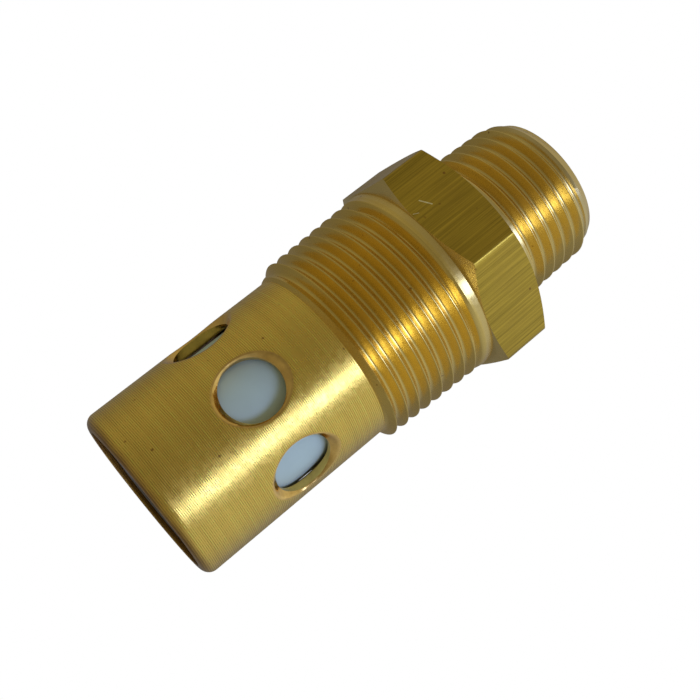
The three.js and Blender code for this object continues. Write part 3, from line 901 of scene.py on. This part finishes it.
class VENT_OT_body(bpy.types.Operator):
    """Build the brass body with its cage, threads and hexagon"""
    bl_idname = "vent.body"
    bl_label = "Body"

    def execute(self, context):
        scene = context.scene
        mesh = vent_body(scene.vent_body)
        brasses = body_brasses(scene.vent_body, scene.vent_finish)
        show("body_brass", mesh, brasses, "body", ["valve_body"])
        return {"FINISHED"}


class VENT_OT_float(bpy.types.Operator):
    """Build the float's shell and cap"""
    bl_idname = "vent.float"
    bl_label = "Float"

    def execute(self, context):
        size, columns = context.scene.vent_float, full_turn(160)
        plastic = moulded_plastic(context.scene.vent_finish)
        thin, small = 0.12 * MM, 0.2 * MM   # roundings of the moulding's lesser edges
        low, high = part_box("float_shell")
        outer, inner, floor = high.x, high.x - size.wall, low.z + size.floor
        cup = rounded([[0, low.z], [outer, low.z], [outer, high.z], [inner, high.z],
                       [inner, floor], [0, floor]], [size.edge, thin, thin, 0.4 * MM], 6)
        show("float_cup", spun("float_cup", cup, columns), [plastic], "float", ["float_shell"])

        low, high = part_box("float_cap")
        under = high.z - size.cap
        spigot = outer - size.wall - size.spigot_gap
        hole, foot = size.screw_hole, under - size.spigot
        lid = rounded([
            [0, low.z], [size.boss_radius, low.z], [size.boss_radius, under],
            [spigot - size.wall, under], [spigot - size.wall, foot], [spigot, foot],
            [spigot, under], [outer, under], [outer, high.z], [hole, high.z],
            [hole, low.z + size.wall], [0, low.z + size.wall]],
            [small, 0, 0.3 * MM, small, small, 0, thin, size.edge, small, 0], 6)
        show("float_lid", spun("float_lid", lid, columns), [plastic], "float", ["float_cap"])
        return {"FINISHED"}


class VENT_OT_ring(bpy.types.Operator):
    """Build the open spring ring with its two lugs"""
    bl_idname = "vent.ring"
    bl_label = "Spring ring"

    def execute(self, context):
        size = context.scene.vent_ring
        low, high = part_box("snap_ring")
        outer = high.x
        azimuths = np.linspace(size.gap_azimuth + size.gap / 2,
                               size.gap_azimuth - size.gap / 2 + TURN, 181)
        section = rounded(ring_section(outer - size.width, outer, low.z, high.z), size.edge)
        middle = np.broadcast_to([[outer - size.width / 2, (low.z + high.z) / 2]], section.shape)
        skin = Skin()
        skin.add(np.concatenate([turned(middle, azimuths[[0]]), turned(section, azimuths),
                                 turned(middle, azimuths[[-1]])], axis=1))
        centre = outer - size.width / 2 - size.lug_radius
        steps = []
        for operation, radius, spare in (("UNION", size.lug_radius, 0),
                                         ("DIFFERENCE", size.lug_hole, MM)):
            puck = rounded([[0, low.z - spare], [radius, low.z - spare],
                            [radius, high.z + spare], [0, high.z + spare]],
                           0 if spare else size.edge)
            for azimuth in azimuths[[0, -1]]:
                shift = (centre * math.cos(azimuth), centre * math.sin(azimuth), 0)
                steps.append((operation, spun("lug", puck, full_turn(48), shift)))
        mesh = joined("spring_ring", skin.mesh("spring_ring_band"), steps)
        show("spring_ring", mesh, [bright_steel("steel_spring", context.scene.vent_finish, 0.32)],
             "body", ["snap_ring"])
        return {"FINISHED"}


class VENT_OT_seal(bpy.types.Operator):
    """Build the rubber seal, its washer and its screw on top of the float"""
    bl_idname = "vent.seal"
    bl_label = "Seal"

    def execute(self, context):
        size, finish = context.scene.vent_seal, context.scene.vent_finish
        rubber = matt_sheet("rubber_black", finish.rubber, rough=0.62, fineness=3000.0,
                            depth=0.008 * MM, pale=(0.05, 0.05, 0.05))
        steel = bright_steel("steel_plated", finish, 0.26)
        for name, cad, material, slot in (
                ("seal_rubber_disc", "seal_disc", rubber, "seal_rubber"),
                ("seal_backing_washer", "seal_washer", steel, "spring_steel")):
            low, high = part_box(cad)
            section = rounded(ring_section(size.screw_hole, high.x, low.z, high.z), size.edge)
            show(name, spun(name, section, full_turn(120)), [material], "float", [cad])
        mesh = joined("seal_screw_head", self.screw(size), [("DIFFERENCE", self.slot(size))])
        show("seal_set_screw", mesh, [steel], "float", ["seal_screw"])
        return {"FINISHED"}

    def screw(self, size):
        """The screw before its slot. Its shank waves in and out once a pitch, from above the plain
        point to just under the head."""
        low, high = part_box("seal_screw")
        under = high.z - size.head_height
        point, plain, relief, rows_per_turn = 1.0 * MM, 1.2 * MM, 0.12 * MM, 8
        threaded_length = under - low.z - plain
        turns = threaded_length / size.screw_pitch
        climb = np.linspace(0, 1, int(rows_per_turn * turns))
        shank = size.screw_radius - relief * (0.5 - 0.5 * np.cos(TURN * turns * climb))
        threads = np.stack([shank, low.z + point + climb * threaded_length], axis=1)
        head = rounded([[size.screw_radius, under], [high.x, under], [high.x, high.z],
                        [0, high.z]], [0.1 * MM, 0.4 * MM], 5)
        return spun("seal_screw_turned", np.concatenate([
            [[0, low.z], [size.screw_radius / 2, low.z]], threads, head]), full_turn(64))

    def slot(self, size):
        """A bar as wide as the slot, right across the head and up past its top."""
        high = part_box("seal_screw")[1]
        reach, half, foot = 2 * high.x, size.slot_width / 2, high.z - size.slot_depth
        corners = np.array([[-half, foot], [half, foot], [half, high.z + MM],
                            [-half, high.z + MM], [-half, foot]])
        line = np.array([-reach, -reach, reach, reach])[None, :, None]
        shrink = np.array([0.0, 1.0, 1.0, 0.0])[None, :, None]
        heart = np.array([0.0, high.z])
        across = heart + (corners[:, None] - heart) * shrink
        bar = Skin()
        bar.add(np.concatenate([np.broadcast_to(line, across[..., :1].shape), across], axis=-1))
        return bar.mesh("slot")


class VENT_OT_seat(bpy.types.Operator):
    """Build the seat that the seal shuts, and the gasket above it"""
    bl_idname = "vent.seat"
    bl_label = "Seat"

    def execute(self, context):
        size, finish, columns = context.scene.vent_seal, context.scene.vent_finish, full_turn(120)
        low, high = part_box("valve_seat")
        port, lip = size.port_radius, size.port_radius + size.lip_width
        under, half = low.z + size.lip_height, (low.z + high.z) / 2
        brass = ringed_brass("brass_seat", finish.turned, finish, rough=0.22, pitch=0.15 * MM,
                             depth=0.003 * MM, contrast=0.3, mottle=0.08, faced=True)
        bush = rounded([[port, half], [port, low.z], [lip, low.z], [lip, under], [high.x, under],
                        [high.x, high.z], [port, high.z], [port, half]], size.edge)
        show("seat_bush", spun("seat_bush", bush, columns), [brass], "body", ["valve_seat"])
        low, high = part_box("seat_gasket")
        fibre = matt_sheet("fibre_red", finish.fibre, rough=0.85, fineness=2400.0,
                           depth=0.02 * MM, pale=(0.42, 0.14, 0.09))
        section = rounded(ring_section(lip, high.x, low.z, high.z), size.edge)
        show("seat_fibre_ring", spun("seat_fibre_ring", section, columns), [fibre], "body",
             ["seat_gasket"])
        return {"FINISHED"}


KEY_WAY = (0.98, 0.16, 0.10)    # towards the key's side of the room
NEAR_WAY = (0.18, -0.98, 0.0)   # towards the part of the room behind the camera
FLOOR_HEIGHT = -0.25 * MM
WHITE = (1, 1, 1, 1)


class VENT_OT_studio(bpy.types.Operator):
    """Set the camera, the lights and the pale floor"""
    bl_idname = "vent.studio"
    bl_label = "Studio"

    def stand(self, name, data, right, back, place):
        """An object at a place, with its own X axis to the right and its own Z axis back."""
        axes = np.eye(4)
        axes[:3, :3] = np.stack([right, np.cross(back, right), back], axis=1)
        axes[:3, 3] = place
        made = put(name, data)
        made.matrix_world = Matrix(axes.tolist())
        return made

    def camera(self, scene, size):
        """Stands the camera at its place, turned by azimuth and elevation, then rolled."""
        side = np.array([math.cos(size.azimuth), math.sin(size.azimuth), 0.0])
        back = np.array([math.sin(size.azimuth) * math.cos(size.elevation),
                         -math.cos(size.azimuth) * math.cos(size.elevation),
                         math.sin(size.elevation)])
        right = math.cos(size.roll) * side + math.sin(size.roll) * np.cross(back, side)
        data = bpy.data.cameras.new("camera")
        data.lens, data.sensor_width = size.lens, 36.0
        data.clip_start, data.clip_end = 0.005, 20.0
        scene.camera = self.stand("camera", data, right, back, size.place)

    def light(self, size):
        """A soft panel that faces the vent's middle from its azimuth and elevation."""
        middle = (CAD_BOX[0][2] + CAD_BOX[1][2]) / 2
        a, e = size.key_azimuth, size.key_elevation
        back = np.array([math.cos(a) * math.cos(e), math.sin(a) * math.cos(e), math.sin(e)])
        data = bpy.data.lights.new("key", "AREA")
        data.shape, data.size, data.size_y = "RECTANGLE", size.key_width, size.key_height
        data.energy = size.key_power * math.pi * size.key_width * size.key_height
        data.color = size.key_colour
        panel = self.stand("key", data, np.array([-math.sin(a), math.cos(a), 0.0]), back,
                           back * size.key_distance + np.array([0, 0, middle]))
        panel.visible_camera = False

    def world(self, scene, size):
        """White where the camera looks past the vent. For light and reflections it is a room:
        brighter and cooler on the key's side, plainer on the other."""
        world = bpy.data.worlds.new("studio")
        world.use_nodes = True
        scene.world = world
        tree = world.node_tree
        tree.nodes.clear()
        way = node(tree, "TexCoord").outputs["Generated"]
        toward = vectors(tree, "DOT_PRODUCT", {0: way, 1: KEY_WAY}, "Value")
        side = node(tree, "MapRange", {"interpolation_type": "SMOOTHSTEP"},
                    {"Value": toward, "From Min": 0.2, "From Max": 0.9}).outputs["Result"]
        room = blended(tree, side, opaque(size.dim_side), opaque(size.lit_side))
        near = vectors(tree, "DOT_PRODUCT", {0: way, 1: NEAR_WAY}, "Value")
        shade = spread(tree, near, 0.25, 1.0, 1.0, 1.0 - size.camera_shade)
        rear = spread(tree, near, -0.85, -0.10, 1.0 - size.rear_shade, 1.0)
        height = split(tree, way)["Z"]
        ground = spread(tree, height, -0.45, -0.05, 1.0 - size.ground_shade, 1.0)
        shade = maths(tree, "MULTIPLY", shade, maths(tree, "MULTIPLY", rear, ground))
        glow = spread(tree, height, 0.25, 0.75, 1.0, 1.0 + size.sky_gain)
        lit = node(tree, "Background", None,
                   {"Color": room, "Strength": maths(tree, "MULTIPLY", shade, glow)})
        seen = node(tree, "Background", None, {"Color": WHITE, "Strength": 1.0})
        path = node(tree, "LightPath").outputs["Is Camera Ray"]
        either = node(tree, "MixShader", None, {0: path, 1: lit.outputs[0], 2: seen.outputs[0]})
        tree.links.new(either.outputs[0], node(tree, "OutputWorld").inputs[0])

    def floor(self, size):
        """A pale disc under the rim. It is there for the camera alone, seen from above, and fades
        out with distance, so that the room's light still reaches the vent from below."""
        disc = put("floor", spun("floor", [[size.floor_radius, FLOOR_HEIGHT], [0, FLOOR_HEIGHT]],
                                 full_turn(96)))
        material, tree, shader, place = new_material("floor_pale", 0.7, 0.0)
        pale = tuple(0.97 * part for part in size.floor)
        tree.links.new(blended(tree, noise(tree, place, 40.0, 3.0), opaque(pale),
                               opaque(size.floor)), shader["Base Color"])
        away = vectors(tree, "LENGTH", {0: place}, "Value")
        seen = spread(tree, away, 0.35 * size.floor_radius, size.floor_radius, 1.0, 0.0)
        above = maths(tree, "SUBTRACT", 1.0, node(tree, "NewGeometry").outputs["Backfacing"])
        looked_at = node(tree, "LightPath").outputs["Is Camera Ray"]
        shown = maths(tree, "MULTIPLY", maths(tree, "MULTIPLY", seen, above), looked_at)
        tree.links.new(shown, shader["Alpha"])
        shader["Emission Color"].default_value = (1, 1, 0.97, 1)
        shader["Emission Strength"].default_value = 0.3
        disc.data.materials.append(material)

    def execute(self, context):
        scene, size = context.scene, context.scene.vent_studio
        self.camera(scene, size)
        self.light(size)
        self.world(scene, size)
        self.floor(size)
        scene.view_settings.view_transform = "Standard"
        return {"FINISHED"}


class VENT_PT_panel(bpy.types.Panel):
    """Sizes and builders of the air vent"""
    bl_idname = "VENT_PT_panel"
    bl_label = "Air Vent"
    bl_space_type = "VIEW_3D"
    bl_region_type = "UI"
    bl_category = "Air Vent"

    def draw(self, context):
        for operator, label, groups in STAGES:
            box = self.layout.box()
            box.operator(operator, text=label)
            for name in groups:
                sizes = getattr(context.scene, name)
                for key in sizes.bl_rna.properties.keys():
                    if key not in ("rna_type", "name"):
                        box.prop(sizes, key)


STAGES = (
    ("vent.body", "Body", ("vent_body", "vent_finish")),
    ("vent.seat", "Seat", ()),
    ("vent.ring", "Spring ring", ("vent_ring",)),
    ("vent.float", "Float", ("vent_float",)),
    ("vent.seal", "Seal", ("vent_seal",)),
    ("vent.studio", "Studio", ("vent_studio",)),
)
GROUPS = {
    "vent_body": VENT_PG_body,
    "vent_float": VENT_PG_float,
    "vent_ring": VENT_PG_ring,
    "vent_seal": VENT_PG_seal,
    "vent_finish": VENT_PG_finish,
    "vent_studio": VENT_PG_studio,
}
CLASSES = (*GROUPS.values(), VENT_OT_body, VENT_OT_float, VENT_OT_ring, VENT_OT_seal, VENT_OT_seat,
           VENT_OT_studio, VENT_PT_panel)


def register():
    for cls in CLASSES:
        bpy.utils.register_class(cls)
    for name, cls in GROUPS.items():
        setattr(bpy.types.Scene, name, PointerProperty(type=cls))


def unregister():
    for name in GROUPS:
        delattr(bpy.types.Scene, name)
    for cls in reversed(CLASSES):
        bpy.utils.unregister_class(cls)


def main():
    """Registers the add-on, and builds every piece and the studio."""
    register()
    bpy.ops.vent.body()
    bpy.ops.vent.seat()
    bpy.ops.vent.ring()
    bpy.ops.vent.float()
    bpy.ops.vent.seal()
    bpy.ops.vent.studio()


if __name__ == "__main__":
    main()
